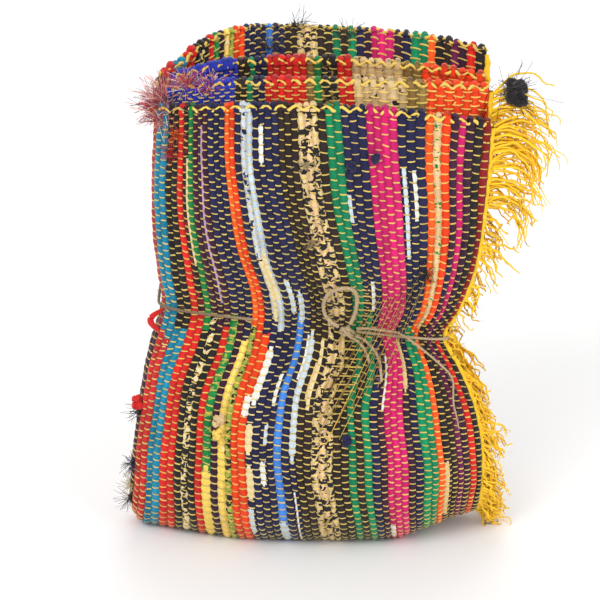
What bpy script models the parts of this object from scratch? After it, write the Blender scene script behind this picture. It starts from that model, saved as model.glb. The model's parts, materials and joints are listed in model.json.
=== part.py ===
"""Rag rug, folded in four along its length and in half across, standing on its fold
and tied round the waist with jute twine.

Metres, +Z up, the front panel faces -Y, and the floor is at Z = 0. The rug is one cloth:
its section runs back and forth through four layers (A, B, C, D), and the section is
carried down the front, round the bottom fold and up the back.
"""
import math

import bmesh
import bpy
from mathutils import Vector

# Driving dimensions
RUG_THICK = 0.005
FRONT_TO_CENTRE_EDGE = 0.0250      # half depth of the bundle at its left and right edges
EDGE_SQUEEZE = 0.0020              # how much the tie narrows those edges
SQUEEZE_REACH = 0.020
CORE = 0.0031                      # the innermost layer's distance from the middle plane
EDGE_POWER = 2.5                   # how squarely the panels belly out across the width
WAIST_HEIGHT = 0.150
WAIST_TILT = 0.0125                # the tie sits higher at the left and lower at the right
TILT_REACH = 0.100                 # how far from the middle the tilt is measured
TILT_SPAN = 0.310
BEND_HEIGHT = 0.056                # where the legs end and the bottom fold begins
BEND_POWER = 3.0
BEND_STEP = 0.0061                 # from layer to layer at the bottom
BEND_SINK = 0.0050                 # the outer layer is pressed flat by this much
SHOULDER = 0.250                   # height up to which every layer has the same rows
BEND_SHARE = 0.24                  # share of a layer's path that is half the bottom fold
SHOULDER_SHARE = 0.855
LIFT_LEFT = 0.006
LIFT_RIGHT = 0.017
PUCKER = 0.075
PUCKER_REACH = 0.022
PUCKER_WAVES = 2.6
CURL_LENGTH = 0.055                # the back panel's top bends away over this length
CURL_TURN = math.radians(98.0)
GAP = 0.0003

FRINGE_THICK = 0.0024
FRINGE_HEADING = 0.0030
FRINGE_STEPS = 4
EDGE_PROBE = 0.02                  # how far in the cloth's slope is read at its edge
FRINGE_GAP = 0.0010
TOOTH_SHARE = 0.66

TWINE_RADIUS = 0.00095
BOW_RADIUS = 0.0013
BAND_POINTS = 46
BAND_POWER = 7.0
BAND_CLEAR = 0.0026
KNOT_X = 0.0236
KNOT_SIZE = (0.0090, 0.0060, 0.0070)
KNOT_CLEAR = 0.0044
ROUTE_CLEAR = 0.0012

# The bundle's outline: its edges and its half depths at mid width, by height
SHAPE_COLUMNS = ("height", "left", "right", "front", "back", "lean")
SHAPE = (
    (0.000, -0.1190, 0.1060, 0.0500, 0.0510, 0.06),
    (0.030, -0.1170, 0.1095, 0.0550, 0.0550, 0.03),
    (0.070, -0.1120, 0.1100, 0.0550, 0.0550, 0.00),
    (0.105, -0.1050, 0.1040, 0.0470, 0.0480, 0.00),
    (0.130, -0.0980, 0.0940, 0.0350, 0.0360, 0.05),
    (0.150, -0.0940, 0.0840, 0.0265, 0.0265, 0.08),
    (0.170, -0.0965, 0.0930, 0.0330, 0.0330, 0.06),
    (0.200, -0.0990, 0.1030, 0.0410, 0.0400, 0.00),
    (0.250, -0.0980, 0.1090, 0.0430, 0.0420, -0.07),
    (0.300, -0.0950, 0.1115, 0.0380, 0.0400, -0.10),
    (0.335, -0.0930, 0.1115, 0.0370, 0.0400, -0.11),
)

# The four layers in the order in which the cloth runs through them. Layer 0 is outermost.
# start and end are places across the width, -1 at the left and 1 at the right.
PANEL_COLUMNS = ("name", "layer", "start", "end", "cells")
PANELS = (
    ("A", 0, 1.00, -1.00, 13),
    ("B", 3, -1.00, 0.93, 6),
    ("C", 2, 0.93, -1.00, 6),
    ("D", 1, -1.00, 0.985, 9),
)
FOLD_CELLS = (6, 4, 4)

# Height of each layer's woven edge at the top, at the left, middle and right
EDGE_COLUMNS = ("name", "front_left", "front_mid", "front_right", "back_left", "back_mid", "back_right")
EDGES = {
    "A": (0.289, 0.297, 0.285, 0.290, 0.285, 0.288),
    "B": (0.282, 0.286, 0.281, 0.281, 0.284, 0.280),
    "C": (0.284, 0.285, 0.283, 0.283, 0.286, 0.282),
    "D": (0.302, 0.310, 0.304, 0.300, 0.308, 0.301),
}
CURLS = (0.25, 1.00, 0.62)         # how far the back panel's top bends away: left, middle, right

# Rows of the solid along a layer's path, as shares of half the path
LEG_ROWS = (0.24, 0.315, 0.38, 0.44, 0.50, 0.538, 0.575, 0.62, 0.68, 0.76, 0.855, 0.93, 1.0)
BEND_ROWS = (-0.205, -0.165, -0.12, -0.07, -0.035, 0.0, 0.035, 0.07, 0.12, 0.165, 0.205)

# Bunches of the fringe: side, share of half the path, reach sideways, droop
TOOTH_COLUMNS = ("side", "share", "reach", "droop")
OUTER_TEETH = (
    (-1, 0.97, 0.018, 0.020),
    (-1, 0.91, 0.027, 0.034),
    (-1, 0.85, 0.030, 0.040),
    (-1, 0.79, 0.024, 0.034),
    (-1, 0.73, 0.012, 0.018),
    (-1, 0.46, 0.010, 0.012),
    (-1, 0.39, 0.014, 0.016),
    (-1, 0.32, 0.021, 0.012),
    (-1, 0.25, 0.016, 0.014),
    (-1, 0.14, 0.014, 0.006),
    (1, 0.04, 0.012, 0.003),
    (1, 0.20, 0.015, 0.006),
    (1, 0.30, 0.018, 0.016),
    (1, 0.38, 0.014, 0.016),
    (1, 0.45, 0.010, 0.012),
    (1, 0.70, 0.014, 0.022),
    (1, 0.76, 0.024, 0.036),
    (1, 0.82, 0.032, 0.044),
    (1, 0.88, 0.038, 0.046),
    (1, 0.94, 0.040, 0.042),
)
INNER_TEETH = (
    (-1, 0.96, 0.022, 0.030),
    (-1, 0.90, 0.030, 0.040),
    (-1, 0.84, 0.034, 0.046),
    (-1, 0.77, 0.022, 0.034),
    (-1, 0.70, 0.010, 0.016),
    (-1, 0.45, 0.008, 0.012),
    (-1, 0.36, 0.013, 0.016),
    (-1, 0.27, 0.015, 0.014),
    (1, 0.27, 0.015, 0.014),
    (1, 0.36, 0.013, 0.016),
    (1, 0.45, 0.008, 0.012),
    (1, 0.72, 0.014, 0.022),
    (1, 0.79, 0.026, 0.038),
    (1, 0.86, 0.036, 0.046),
    (1, 0.93, 0.034, 0.042),
)

# Routes on the front, chosen by hand: across, up and off the cloth, from the knot's middle
BOW_ROUTE = (
    (-0.0052, 0.0040, 0.0036),
    (-0.0095, 0.0068, 0.0032),
    (-0.0135, 0.0112, 0.0026),
    (-0.0150, 0.0165, 0.0022),
    (-0.0146, 0.0225, 0.0020),
    (-0.0122, 0.0288, 0.0022),
    (-0.0075, 0.0332, 0.0026),
    (-0.0015, 0.0346, 0.0028),
    (0.0036, 0.0318, 0.0028),
    (0.0058, 0.0262, 0.0024),
    (0.0056, 0.0195, 0.0022),
    (0.0046, 0.0135, 0.0024),
    (0.0030, 0.0088, 0.0030),
    (0.0018, 0.0056, 0.0036),
)
SHORT_TAIL_ROUTE = (
    (-0.0030, 0.0050, 0.0072),
    (-0.0010, 0.0015, 0.0080),
    (0.0020, -0.0020, 0.0074),
    (0.0058, -0.0050, 0.0050),
    (0.0098, -0.0092, 0.0034),
    (0.0126, -0.0140, 0.0028),
    (0.0140, -0.0186, 0.0026),
)
MID_TAIL_ROUTE = (
    (0.0046, -0.0028, 0.0036),
    (0.0092, -0.0046, 0.0028),
    (0.0140, -0.0080, 0.0026),
    (0.0180, -0.0126, 0.0026),
    (0.0204, -0.0178, 0.0028),
    (0.0212, -0.0236, 0.0030),
    (0.0216, -0.0290, 0.0032),
)
LONG_TAIL_ROUTE = (
    (0.0056, 0.0022, 0.0040),
    (0.0120, 0.0024, 0.0036),
    (0.0190, 0.0018, 0.0036),
    (0.0270, 0.0008, 0.0038),
    (0.0335, -0.0012, 0.0050),
    (0.0395, -0.0050, 0.0054),
    (0.0462, -0.0108, 0.0040),
    (0.0530, -0.0170, 0.0030),
    (0.0595, -0.0232, 0.0026),
    (0.0645, -0.0285, 0.0026),
    (0.0674, -0.0345, 0.0026),
    (0.0676, -0.0415, 0.0026),
    (0.0680, -0.0490, 0.0026),
    (0.0700, -0.0570, 0.0026),
    (0.0716, -0.0650, 0.0026),
)


def smoothstep(value):
    value = min(1.0, max(0.0, value))
    return value * value * (3.0 - 2.0 * value)


def shape(height, column):
    """One column of SHAPE at a height, on a smooth curve through the rows."""
    index = SHAPE_COLUMNS.index(column)
    rows = SHAPE
    height = min(rows[-1][0], max(rows[0][0], height))
    upper = next(i for i in range(1, len(rows)) if height <= rows[i][0])
    before = rows[max(0, upper - 2)]
    low = rows[upper - 1]
    high = rows[upper]
    after = rows[min(len(rows) - 1, upper + 1)]
    span = high[0] - low[0]
    t = (height - low[0]) / span
    slope_low = (high[index] - before[index]) / (high[0] - before[0]) * span
    slope_high = (after[index] - low[index]) / (after[0] - low[0]) * span
    value = (2 * t ** 3 - 3 * t ** 2 + 1) * low[index]
    value += (t ** 3 - 2 * t ** 2 + t) * slope_low
    value += (3 * t ** 2 - 2 * t ** 3) * high[index]
    value += (t ** 3 - t ** 2) * slope_high
    return value


def three_way(values, across):
    """A smooth value from the left, middle and right ones."""
    left, middle, right = values
    if across < 0.0:
        return middle + (left - middle) * across * across
    return middle + (right - middle) * across * across


def half_depth(across, level, side):
    """Outer face of the bundle, from its middle plane, at a place across the width."""
    centre = shape(level, "front" if side < 0 else "back")
    belly = 1.0 - min(1.0, abs(across)) ** EDGE_POWER
    squeeze = EDGE_SQUEEZE * math.exp(-((level - WAIST_HEIGHT) / SQUEEZE_REACH) ** 2)
    edge = FRONT_TO_CENTRE_EDGE - squeeze
    depth = edge + (centre - edge) * belly
    away = abs(level - WAIST_HEIGHT) / PUCKER_REACH
    swell = away * math.exp(1.0 - away)
    wave = math.sin(2.0 * math.pi * PUCKER_WAVES * across + (0.6 if level > WAIST_HEIGHT else 2.2))
    return depth * (1.0 + PUCKER * swell * wave * belly)


def layer_depth(across, level, side, layer):
    outer = half_depth(across, level, side) - RUG_THICK / 2
    step = (outer - CORE) / 3.0
    return outer - layer * step


def width_place(across, level):
    """World x of a place across the width. The strips lean as they come down."""
    left = shape(level, "left") + RUG_THICK / 2 + fold_radius(3, level)
    right = shape(level, "right")
    share = (across + 1.0) / 2.0
    share += shape(level, "lean") * math.sin(math.pi * min(1.0, max(0.0, share)))
    return left + (right - left) * share


def fold_radius(layers, level):
    outer = FRONT_TO_CENTRE_EDGE - RUG_THICK / 2
    return layers * (outer - CORE) / 6.0


def tilt(x, height):
    """How far the tie's slant lowers a point. It fades out at the floor and at the top."""
    rise = max(0.0, height - RUG_THICK) / (TILT_SPAN - RUG_THICK)
    return WAIST_TILT * x / TILT_REACH * math.sin(math.pi * rise)


def bottom_height(across, layer):
    lift = LIFT_LEFT * smoothstep((-across - 0.45) / 0.55)
    lift += LIFT_RIGHT * smoothstep((across - 0.35) / 0.65)
    sink = BEND_SINK * max(0.0, 1.0 - layer)
    return RUG_THICK / 2 + lift - sink + layer * BEND_STEP


def cloth_point(across, layer, share, edges, curl, bulge):
    """Middle of the cloth. share runs from -1, the front edge, to 1, the back edge."""
    side = -1 if share < 0 else 1
    run = abs(share)
    if run < BEND_SHARE:
        angle = 0.5 * math.pi * (1.0 - run / BEND_SHARE)
        radius = BEND_HEIGHT - bottom_height(across, layer)
        level = BEND_HEIGHT - radius * math.sin(angle) ** (2.0 / BEND_POWER)
        level = max(level, RUG_THICK / 2)
        depth = layer_depth(across, level, side, layer) * math.cos(angle) ** (2.0 / BEND_POWER)
    elif run < SHOULDER_SHARE:
        level = BEND_HEIGHT + (SHOULDER - BEND_HEIGHT) * (run - BEND_SHARE) / (SHOULDER_SHARE - BEND_SHARE)
        depth = layer_depth(across, level, side, layer)
    else:
        end = three_way(edges[:3] if side < 0 else edges[3:], across)
        level = SHOULDER + (end - SHOULDER) * (run - SHOULDER_SHARE) / (1.0 - SHOULDER_SHARE)
        depth = layer_depth(across, level, side, layer)
    x = width_place(across, level) + bulge
    z = level - tilt(x, level)
    if side > 0 and curl > 0.0 and run > SHOULDER_SHARE:
        turn = CURL_TURN * curl * (run - SHOULDER_SHARE) / (1.0 - SHOULDER_SHARE)
        radius = CURL_LENGTH / CURL_TURN
        depth += radius * (1.0 - math.cos(turn))
        z += radius * math.sin(turn) * 0.9
    return Vector((x, side * depth, z))


def section_stations():
    """Places along the section: across, layer, sideways bulge, edge heights and curl."""
    stations = []
    for index, (name, layer, start, end, cells) in enumerate(PANELS):
        for cell in range(cells + 1):
            across = start + (end - start) * cell / cells
            curl = three_way(CURLS, across) if name == "A" else 0.0
            stations.append((across, layer, 0.0, EDGES[name], curl))
        if index == len(PANELS) - 1:
            break
        next_name, next_layer = PANELS[index + 1][:2]
        outward = -1.0 if end < 0 else 1.0
        radius = fold_radius(abs(next_layer - layer), WAIST_HEIGHT)
        curl = three_way(CURLS, end) if name == "A" else 0.0
        for cell in range(1, FOLD_CELLS[index]):
            angle = math.pi * cell / FOLD_CELLS[index]
            blend = (1.0 - math.cos(angle)) / 2.0
            height = [a + (b - a) * blend for a, b in zip(EDGES[name], EDGES[next_name])]
            place = layer + (next_layer - layer) * blend
            stations.append((end, place, outward * radius * math.sin(angle), height, curl * (1.0 - blend)))
    return stations


def new_object(name, data, material, collection):
    thing = bpy.data.objects.new(name, data)
    collection.objects.link(thing)
    data.materials.append(material)
    return thing


def plain_material(name, colour, roughness):
    material = bpy.data.materials.new(name)
    material.use_nodes = True
    shader = material.node_tree.nodes["Principled BSDF"]
    shader.inputs["Base Color"].default_value = (*colour, 1.0)
    shader.inputs["Roughness"].default_value = roughness
    shader.inputs["Metallic"].default_value = 0.0
    return material


def thicken(thing, thickness):
    solidify = thing.modifiers.new("thickness", "SOLIDIFY")
    solidify.thickness = thickness
    solidify.offset = 0.0
    solidify.use_even_offset = False


def mesh_from_grid(name, grid, keep):
    """An open sheet through a grid of points. keep says which cells are cloth."""
    sheet = bmesh.new()
    rows = [[sheet.verts.new(point) for point in row] for row in grid]
    for i in range(len(rows) - 1):
        for j in range(len(rows[0]) - 1):
            if keep(i, j):
                sheet.faces.new((rows[i][j], rows[i][j + 1], rows[i + 1][j + 1], rows[i + 1][j]))
    bmesh.ops.delete(sheet, geom=[v for v in sheet.verts if not v.link_faces], context="VERTS")
    mesh = bpy.data.meshes.new(name)
    sheet.to_mesh(mesh)
    sheet.free()
    mesh.shade_smooth()
    return mesh


def make_rug(collection):
    shares = [-share for share in reversed(LEG_ROWS)] + list(BEND_ROWS) + list(LEG_ROWS)
    grid = []
    for across, layer, bulge, edges, curl in section_stations():
        grid.append([cloth_point(across, layer, share, edges, curl, bulge) for share in shares])
    mesh = mesh_from_grid("rug", grid, lambda i, j: True)
    rug = new_object("rug", mesh, plain_material("rag_weave", (0.20, 0.09, 0.08), 0.9), collection)
    thicken(rug, RUG_THICK)
    return rug


def fringe_rows(teeth):
    """Rows of the comb along the cloth's edge: share, reach and droop, tooth or gap."""
    rows = []
    half = 0.03 * TOOTH_SHARE
    for side, share, reach, droop in teeth:
        middle = side * share
        rows.append((middle - half, reach, droop))
        rows.append((middle + half, reach * 0.86, droop))
    return rows


def make_fringe(name, panel, teeth, collection):
    title, layer, start, end, _ = PANELS[panel]
    across = start if panel == 0 else end
    edges = EDGES[title]
    curl = CURLS[2] if panel == 0 else 0.0
    grid = []
    for share, reach, droop in fringe_rows(teeth):
        share = min(0.995, max(-0.995, share))
        root = cloth_point(across, layer, share, edges, curl, 0.0)
        inside = cloth_point(across - EDGE_PROBE, layer, share, edges, curl, 0.0)
        outward = (root - inside).normalized()
        heading = root + outward * (FRINGE_GAP + FRINGE_HEADING)
        line = [root + outward * FRINGE_GAP, heading]
        for step in range(1, FRINGE_STEPS + 1):
            part = step / FRINGE_STEPS
            sideways = reach * math.sin(0.5 * math.pi * part) ** 1.2
            drop = min(droop, max(0.0, heading.z - 0.004)) * part ** 2.2
            line.append(heading + Vector((sideways, 0.0, -drop)))
        grid.append(line)
    mesh = mesh_from_grid(name, grid, lambda i, j: j == 0 or i % 2 == 0)
    material = plain_material(name + "_yarn", (0.80, 0.52, 0.03), 0.9)
    fringe = new_object(name, mesh, material, collection)
    thicken(fringe, FRINGE_THICK)
    return fringe


def band_point(angle, off):
    """The tie's route round the waist, a rounded box a little off the cloth."""
    left = shape(WAIST_HEIGHT, "left") - off
    right = shape(WAIST_HEIGHT, "right") + FRINGE_HEADING + GAP + off
    depth = shape(WAIST_HEIGHT, "front") + off
    cosine = math.cos(angle)
    sine = math.sin(angle)
    x = (left + right) / 2 + (right - left) / 2 * math.copysign(abs(cosine) ** (2 / BAND_POWER), cosine)
    y = depth * math.copysign(abs(sine) ** (2 / BAND_POWER), sine)
    return Vector((x, y, WAIST_HEIGHT - tilt(x, WAIST_HEIGHT)))


def even_points(points, count):
    """The same route with its points evenly spaced."""
    lengths = [0.0]
    for first, second in zip(points, points[1:]):
        lengths.append(lengths[-1] + (second - first).length)
    result = []
    for i in range(count):
        target = lengths[-1] * i / (count - 1)
        upper = next((k for k in range(1, len(lengths)) if lengths[k] >= target), len(lengths) - 1)
        part = (target - lengths[upper - 1]) / (lengths[upper] - lengths[upper - 1])
        result.append(points[upper - 1].lerp(points[upper], part))
    return result


def knot_place():
    off = shape(WAIST_HEIGHT, "front") + KNOT_CLEAR
    return Vector((KNOT_X, -off, WAIST_HEIGHT - tilt(KNOT_X, WAIST_HEIGHT)))


def front_point(x, z, off):
    """A point off the front panel's face."""
    level = z + tilt(x, z)
    left = width_place(-1.0, level)
    right = width_place(1.0, level)
    share = (x - left) / (right - left)
    share -= shape(level, "lean") * math.sin(math.pi * share)
    return Vector((x, -half_depth(2.0 * share - 1.0, level, -1) - off, z))


def front_route(route):
    knot = knot_place()
    return [front_point(knot.x + x, knot.z + z, off + ROUTE_CLEAR) for x, z, off in route]


def make_tube(name, points, radius, material, collection):
    curve = bpy.data.curves.new(name, "CURVE")
    curve.dimensions = "3D"
    curve.bevel_depth = radius
    curve.bevel_resolution = 2
    curve.use_fill_caps = True
    spline = curve.splines.new("POLY")
    spline.points.add(len(points) - 1)
    for target, point in zip(spline.points, points):
        target.co = (*point, 1.0)
    return new_object(name, curve, material, collection)


def make_twine(collection):
    twine = plain_material("jute", (0.46, 0.34, 0.22), 0.95)
    knot = knot_place()
    reach = KNOT_SIZE[0] / 2 + GAP
    ring = [band_point(math.radians(degrees), BAND_CLEAR) for degrees in range(-90, 271)]
    start = min(range(len(ring)), key=lambda i: (ring[i] - knot).length)
    ring = ring[start:] + ring[1:start + 1]
    ring = [point for point in ring if (point - knot).length > reach]
    make_tube("twine_band", even_points(ring, BAND_POINTS), TWINE_RADIUS, twine, collection)
    make_tube("twine_bow", front_route(BOW_ROUTE), BOW_RADIUS, twine, collection)
    make_tube("twine_tail_short", front_route(SHORT_TAIL_ROUTE), TWINE_RADIUS, twine, collection)
    make_tube("twine_tail_mid", front_route(MID_TAIL_ROUTE), TWINE_RADIUS, twine, collection)
    make_tube("twine_tail_long", front_route(LONG_TAIL_ROUTE), TWINE_RADIUS, twine, collection)


def make_knot(collection):
    ball = bmesh.new()
    bmesh.ops.create_uvsphere(ball, u_segments=12, v_segments=8, radius=0.5)
    mesh = bpy.data.meshes.new("twine_knot")
    ball.to_mesh(mesh)
    ball.free()
    mesh.shade_smooth()
    knot = new_object("twine_knot", mesh, plain_material("jute_knot", (0.46, 0.34, 0.22), 0.95), collection)
    knot.location = knot_place()
    knot.scale = KNOT_SIZE
    return knot


def stand_at_origin(things):
    """Moves everything so that the cloth and its fringe stand centred on the origin."""
    bpy.context.view_layer.update()
    graph = bpy.context.evaluated_depsgraph_get()
    corners = [Vector(corner) for thing in things for corner in thing.evaluated_get(graph).bound_box]
    low_x = min(corner.x for corner in corners)
    high_x = max(corner.x for corner in corners)
    low_y = min(corner.y for corner in corners)
    high_y = max(corner.y for corner in corners)
    low_z = min(corner.z for corner in corners)
    shift = Vector((-(low_x + high_x) / 2, -(low_y + high_y) / 2, -low_z))
    for thing in bpy.data.objects:
        thing.location += shift


def main():
    for thing in list(bpy.data.objects):
        bpy.data.objects.remove(thing, do_unlink=True)
    collection = bpy.data.collections.new("rag_rug")
    bpy.context.scene.collection.children.link(collection)
    rug = make_rug(collection)
    outer = make_fringe("fringe_outer", 0, OUTER_TEETH, collection)
    inner = make_fringe("fringe_inner", 3, INNER_TEETH, collection)
    make_twine(collection)
    make_knot(collection)
    stand_at_origin((rug, outer, inner))


main()
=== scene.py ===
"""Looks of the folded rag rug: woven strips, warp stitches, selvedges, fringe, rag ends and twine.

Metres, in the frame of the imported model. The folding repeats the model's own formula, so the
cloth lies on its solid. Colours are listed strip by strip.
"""
import json
import math

import bpy
import numpy as np
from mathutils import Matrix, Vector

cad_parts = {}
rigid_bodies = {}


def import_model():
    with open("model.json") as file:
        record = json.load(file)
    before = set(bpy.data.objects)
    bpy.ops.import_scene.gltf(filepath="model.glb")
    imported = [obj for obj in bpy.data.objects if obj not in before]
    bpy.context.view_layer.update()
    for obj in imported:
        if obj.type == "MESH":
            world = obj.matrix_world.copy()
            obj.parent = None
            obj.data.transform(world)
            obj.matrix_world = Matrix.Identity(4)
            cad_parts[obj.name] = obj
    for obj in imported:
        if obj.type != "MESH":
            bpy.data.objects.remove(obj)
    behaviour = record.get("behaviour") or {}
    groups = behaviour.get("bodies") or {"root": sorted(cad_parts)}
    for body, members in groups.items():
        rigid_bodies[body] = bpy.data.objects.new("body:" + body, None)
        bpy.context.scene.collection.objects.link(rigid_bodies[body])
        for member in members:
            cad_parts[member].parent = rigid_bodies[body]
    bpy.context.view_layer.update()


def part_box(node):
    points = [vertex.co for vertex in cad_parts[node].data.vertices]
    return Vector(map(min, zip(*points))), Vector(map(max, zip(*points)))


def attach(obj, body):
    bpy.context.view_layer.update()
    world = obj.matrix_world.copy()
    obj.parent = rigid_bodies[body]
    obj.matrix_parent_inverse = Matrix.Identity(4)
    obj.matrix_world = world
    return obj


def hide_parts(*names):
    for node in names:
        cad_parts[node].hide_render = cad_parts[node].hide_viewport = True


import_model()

# ---------------------------------------------------------------- the fold, as in the model
RUG_THICK = 0.005
FRONT_TO_CENTRE_EDGE = 0.0250
EDGE_SQUEEZE = 0.0020
SQUEEZE_REACH = 0.020
CORE = 0.0031
EDGE_POWER = 2.5
WAIST_HEIGHT = 0.150
WAIST_TILT = 0.0125
TILT_REACH = 0.100
TILT_SPAN = 0.310
BEND_HEIGHT = 0.056
BEND_POWER = 3.0
BEND_STEP = 0.0061
BEND_SINK = 0.0050
SHOULDER = 0.250
BEND_SHARE = 0.24
SHOULDER_SHARE = 0.855
LIFT_LEFT = 0.006
LIFT_RIGHT = 0.017
PUCKER = 0.075
PUCKER_REACH = 0.022
PUCKER_WAVES = 2.6
CURL_LENGTH = 0.055
CURL_TURN = math.radians(98.0)

TWINE_RADIUS = 0.00095
BOW_RADIUS = 0.0013
BAND_POWER = 7.0
BAND_CLEAR = 0.0026
FRINGE_HEADING = 0.0030
GAP = 0.0003
KNOT_X = 0.0236
KNOT_SIZE = (0.0090, 0.0060, 0.0070)
KNOT_CLEAR = 0.0044
ROUTE_CLEAR = 0.0012

SHAPE_COLUMNS = ("height", "left", "right", "front", "back", "lean")
SHAPE = np.array((
    (0.000, -0.1190, 0.1060, 0.0500, 0.0510, 0.06),
    (0.030, -0.1170, 0.1095, 0.0550, 0.0550, 0.03),
    (0.070, -0.1120, 0.1100, 0.0550, 0.0550, 0.00),
    (0.105, -0.1050, 0.1040, 0.0470, 0.0480, 0.00),
    (0.130, -0.0980, 0.0940, 0.0350, 0.0360, 0.05),
    (0.150, -0.0940, 0.0840, 0.0265, 0.0265, 0.08),
    (0.170, -0.0965, 0.0930, 0.0330, 0.0330, 0.06),
    (0.200, -0.0990, 0.1030, 0.0410, 0.0400, 0.00),
    (0.250, -0.0980, 0.1090, 0.0430, 0.0420, -0.07),
    (0.300, -0.0950, 0.1115, 0.0380, 0.0400, -0.10),
    (0.335, -0.0930, 0.1115, 0.0370, 0.0400, -0.11),
))
SLOPES = np.gradient(SHAPE, axis=0)
SLOPES[1:-1] = SHAPE[2:] - SHAPE[:-2]
SLOPES[0] = SHAPE[1] - SHAPE[0]
SLOPES[-1] = SHAPE[-1] - SHAPE[-2]
SLOPES = SLOPES / SLOPES[:, :1]

# Layer, start and end across the width, and the woven edges' heights, in the cloth's order
PANELS = {
    "A": (0, 1.00, -1.00, (0.289, 0.297, 0.285), (0.290, 0.285, 0.288)),
    "B": (3, -1.00, 0.93, (0.282, 0.286, 0.281), (0.281, 0.284, 0.280)),
    "C": (2, 0.93, -1.00, (0.284, 0.285, 0.283), (0.283, 0.286, 0.282)),
    "D": (1, -1.00, 0.985, (0.302, 0.310, 0.304), (0.300, 0.308, 0.301)),
}
ORDER = "ABCD"
CURLS = (0.25, 1.00, 0.62)
LAST = 7.0                          # the section runs 0-1 in A, 1-2 in the fold, 2-3 in B, and on


def smoothstep(value):
    value = np.clip(value, 0.0, 1.0)
    return value * value * (3.0 - 2.0 * value)


def shape(level, column):
    """One column of SHAPE at each level, on a smooth curve through the rows."""
    index = SHAPE_COLUMNS.index(column)
    heights = SHAPE[:, 0]
    level = np.clip(level, heights[0], heights[-1])
    low = np.clip(np.searchsorted(heights, level, side="left") - 1, 0, len(heights) - 2)
    span = heights[low + 1] - heights[low]
    t = (level - heights[low]) / span
    value = (2 * t ** 3 - 3 * t ** 2 + 1) * SHAPE[low, index]
    value = value + (t ** 3 - 2 * t ** 2 + t) * SLOPES[low, index] * span
    value = value + (3 * t ** 2 - 2 * t ** 3) * SHAPE[low + 1, index]
    return value + (t ** 3 - t ** 2) * SLOPES[low + 1, index] * span


def three_way(values, across):
    left, middle, right = values
    side = np.where(across < 0.0, left, right)
    return middle + (side - middle) * across * across


def half_depth(across, level, side):
    centre = np.where(side < 0, shape(level, "front"), shape(level, "back"))
    belly = 1.0 - np.minimum(1.0, np.abs(across)) ** EDGE_POWER
    squeeze = EDGE_SQUEEZE * np.exp(-((level - WAIST_HEIGHT) / SQUEEZE_REACH) ** 2)
    edge = FRONT_TO_CENTRE_EDGE - squeeze
    depth = edge + (centre - edge) * belly
    away = np.abs(level - WAIST_HEIGHT) / PUCKER_REACH
    swell = away * np.exp(1.0 - away)
    phase = np.where(level > WAIST_HEIGHT, 0.6, 2.2)
    wave = np.sin(2.0 * math.pi * PUCKER_WAVES * across + phase)
    return depth * (1.0 + PUCKER * swell * wave * belly)


def layer_depth(across, level, side, layer):
    outer = half_depth(across, level, side) - RUG_THICK / 2
    return outer - layer * (outer - CORE) / 3.0


def fold_radius(layers):
    return layers * (FRONT_TO_CENTRE_EDGE - RUG_THICK / 2 - CORE) / 6.0


def width_place(across, level):
    left = shape(level, "left") + RUG_THICK / 2 + fold_radius(3)
    share = (across + 1.0) / 2.0
    share = share + shape(level, "lean") * np.sin(math.pi * np.clip(share, 0.0, 1.0))
    return left + (shape(level, "right") - left) * share


def tilt(x, height):
    rise = np.maximum(0.0, height - RUG_THICK) / (TILT_SPAN - RUG_THICK)
    return WAIST_TILT * x / TILT_REACH * np.sin(math.pi * rise)


def bottom_height(across, layer):
    lift = LIFT_LEFT * smoothstep((-across - 0.45) / 0.55)
    lift = lift + LIFT_RIGHT * smoothstep((across - 0.35) / 0.65)
    return RUG_THICK / 2 + lift - BEND_SINK * np.maximum(0.0, 1.0 - layer) + layer * BEND_STEP


def section(q):
    """What the section says at each place along it: across, layer, bulge, edge heights and curl."""
    q = np.asarray(q, float)
    across = np.zeros(q.shape)
    layer = np.zeros(q.shape)
    bulge = np.zeros(q.shape)
    front = np.zeros(q.shape)
    back = np.zeros(q.shape)
    curl = np.zeros(q.shape)
    for index, name in enumerate(ORDER):
        depth, start, end, fronts, backs = PANELS[name]
        here = (q >= 2 * index) & (q <= 2 * index + 1)
        place = start + (end - start) * (q - 2 * index)
        across = np.where(here, place, across)
        layer = np.where(here, depth, layer)
        front = np.where(here, three_way(fronts, place), front)
        back = np.where(here, three_way(backs, place), back)
        if name == "A":
            curl = np.where(here, three_way(CURLS, place), curl)
        if index == 3:
            break
        after = PANELS[ORDER[index + 1]]
        here = (q > 2 * index + 1) & (q < 2 * index + 2)
        angle = math.pi * (q - 2 * index - 1)
        blend = (1.0 - np.cos(angle)) / 2.0
        radius = fold_radius(abs(after[0] - depth)) * (-1.0 if end < 0 else 1.0)
        spot = np.full(q.shape, end)
        across = np.where(here, spot, across)
        layer = np.where(here, depth + (after[0] - depth) * blend, layer)
        bulge = np.where(here, radius * np.sin(angle), bulge)
        first = three_way(fronts, spot)
        front = np.where(here, first + (three_way(after[3], spot) - first) * blend, front)
        first = three_way(backs, spot)
        back = np.where(here, first + (three_way(after[4], spot) - first) * blend, back)
        if name == "A":
            curl = np.where(here, CURLS[0] * (1.0 - blend), curl)
    return across, layer, bulge, front, back, curl


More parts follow.
